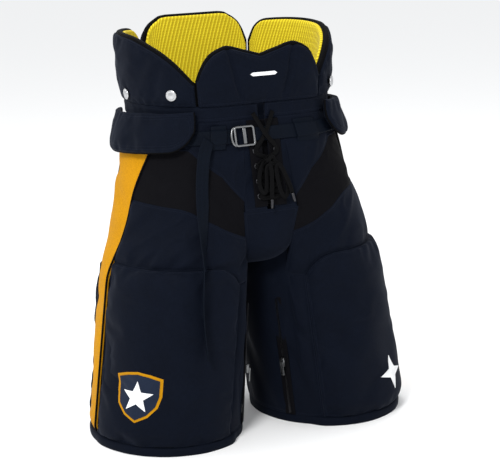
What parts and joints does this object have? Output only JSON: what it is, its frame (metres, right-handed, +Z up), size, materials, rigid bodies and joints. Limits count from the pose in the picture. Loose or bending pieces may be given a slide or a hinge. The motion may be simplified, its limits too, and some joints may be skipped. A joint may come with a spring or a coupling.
{
  "type": "hockey_pants",
  "caption": "Padded ice hockey pants with a laced fly, buckled belt, hip flaps, gold side stripes and yellow-lined pads standing up round the waist.",
  "frame": {"origin": "on the floor under the middle of the outline", "axes": "+Z up, the front faces -Y, the wearer's left is +X"},
  "size_m": [0.5172, 0.3329, 0.6209],
  "materials": {
    "navy_cloth": "matte",
    "stretch_cloth": "matte",
    "gold_cloth": "satin",
    "yellow_lining": "matte",
    "webbing": "satin",
    "lace_cord": "matte",
    "steel": "polished",
    "plate_plastic": "matte",
    "pad_foam": "matte",
    "zip_tape_cloth": "matte"
  },
  "bodies": {
    "waist": {"right_front_yoke": "navy_cloth", "left_front_yoke": "navy_cloth", "seat_panel": "navy_cloth", "crotch_panel": "navy_cloth", "fly_tongue": "stretch_cloth", "waistband": "navy_cloth", "tailbone_pad": "pad_foam", "belt": "webbing", "belt_tail": "webbing", "buckle_frame": "steel", "right_belt_loop": "webbing", "left_belt_loop": "webbing", "rear_belt_loop": "webbing", "fly_lace": "lace_cord", "right_lace_end": "lace_cord", "left_lace_end": "lace_cord", "right_aglet": "steel", "left_aglet": "steel", "right_stretch_panel": "stretch_cloth", "left_stretch_panel": "stretch_cloth"},
    "buckle": {"buckle_bar": "steel"},
    "belly": {"belly_pad": "navy_cloth", "belly_lining": "yellow_lining"},
    "back": {"back_pad": "navy_cloth", "spine_plate": "plate_plastic", "back_lining": "yellow_lining", "right_rear_button": "steel", "left_rear_button": "steel"},
    "right_side": {"right_side_pad": "navy_cloth", "right_side_lining": "yellow_lining", "right_front_button": "steel", "right_side_button": "steel"},
    "right_flap": {"right_hip_flap": "navy_cloth"},
    "right_leg": {"right_upper_thigh": "navy_cloth", "right_side_stripe": "gold_cloth", "right_thigh_cover": "navy_cloth", "right_thigh_plate": "plate_plastic", "right_thigh_foam": "pad_foam", "right_inner_thigh": "navy_cloth", "right_rear_thigh": "navy_cloth", "right_hem_band": "navy_cloth", "right_zip_tape": "zip_tape_cloth"},
    "right_slider": {"right_zip_slider": "steel"},
    "right_pull": {"right_zip_pull": "steel"},
    "left_side": {"left_side_pad": "navy_cloth", "left_side_lining": "yellow_lining", "left_front_button": "steel", "left_side_button": "steel"},
    "left_flap": {"left_hip_flap": "navy_cloth"},
    "left_leg": {"left_upper_thigh": "navy_cloth", "left_side_stripe": "gold_cloth", "left_thigh_cover": "navy_cloth", "left_thigh_plate": "plate_plastic", "left_thigh_foam": "pad_foam", "left_inner_thigh": "navy_cloth", "left_rear_thigh": "navy_cloth", "left_hem_band": "navy_cloth", "left_zip_tape": "zip_tape_cloth"},
    "left_slider": {"left_zip_slider": "steel"},
    "left_pull": {"left_zip_pull": "steel"}
  },
  "joints": [
    {"name": "right_leg_flex", "type": "hinge", "parent": "waist", "child": "right_leg", "pos_m": [-0.11, -0.008, 0.38], "axis": [-1, 0, 0], "range_deg": [0, 25], "deforming": ["right_stretch_panel", "right_upper_thigh", "right_side_stripe", "belt_tail"]},
    {"name": "left_leg_flex", "type": "hinge", "parent": "waist", "child": "left_leg", "pos_m": [0.11, -0.008, 0.38], "axis": [-1, 0, 0], "range_deg": [0, 25], "deforming": ["left_stretch_panel", "left_upper_thigh", "left_side_stripe"]},
    {"name": "belly_pad_tilt", "type": "hinge", "parent": "waist", "child": "belly", "pos_m": [0, -0.1105, 0.5085], "axis": [1, 0, 0], "range_deg": [0, 25], "stiffness_Nm_per_rad": 2},
    {"name": "back_pad_tilt", "type": "hinge", "parent": "waist", "child": "back", "pos_m": [0, 0.1488, 0.5085], "axis": [-1, 0, 0], "range_deg": [0, 20], "stiffness_Nm_per_rad": 2},
    {"name": "right_side_pad_tilt", "type": "hinge", "parent": "waist", "child": "right_side", "pos_m": [-0.1612, 0.019, 0.5085], "axis": [0, -1, 0], "range_deg": [0, 15], "stiffness_Nm_per_rad": 2},
    {"name": "left_side_pad_tilt", "type": "hinge", "parent": "waist", "child": "left_side", "pos_m": [0.1612, 0.019, 0.5085], "axis": [0, 1, 0], "range_deg": [0, 15], "stiffness_Nm_per_rad": 2},
    {"name": "right_flap_lift", "type": "hinge", "parent": "waist", "child": "right_flap", "pos_m": [-0.158, 0.012, 0.4925], "axis": [0, 1, 0], "range_deg": [0, 60]},
    {"name": "left_flap_lift", "type": "hinge", "parent": "waist", "child": "left_flap", "pos_m": [0.158, 0.012, 0.4925], "axis": [0, -1, 0], "range_deg": [0, 60]},
    {"name": "buckle_bar_slide", "type": "slide", "parent": "waist", "child": "buckle", "axis": [-1, 0, 0], "range_m": [0, 0.004]},
    {"name": "right_zip_slide", "type": "slide", "parent": "right_leg", "child": "right_slider", "axis": [0.0929, 0.0295, 0.9952], "range_m": [-0.07, 0.09]},
    {"name": "left_zip_slide", "type": "slide", "parent": "left_leg", "child": "left_slider", "axis": [-0.0929, 0.0295, 0.9952], "range_m": [-0.07, 0.09]},
    {"name": "right_zip_pull_swing", "type": "hinge", "parent": "right_slider", "child": "right_pull", "pos_m": [-0.02688, -0.09434, 0.10095], "axis": [-0.5299, -0.8448, 0.0745], "range_deg": [0, 50]},
    {"name": "left_zip_pull_swing", "type": "hinge", "parent": "left_slider", "child": "left_pull", "pos_m": [0.02688, -0.09434, 0.10095], "axis": [-0.5299, 0.8448, -0.0745], "range_deg": [0, 50]}
  ]
}
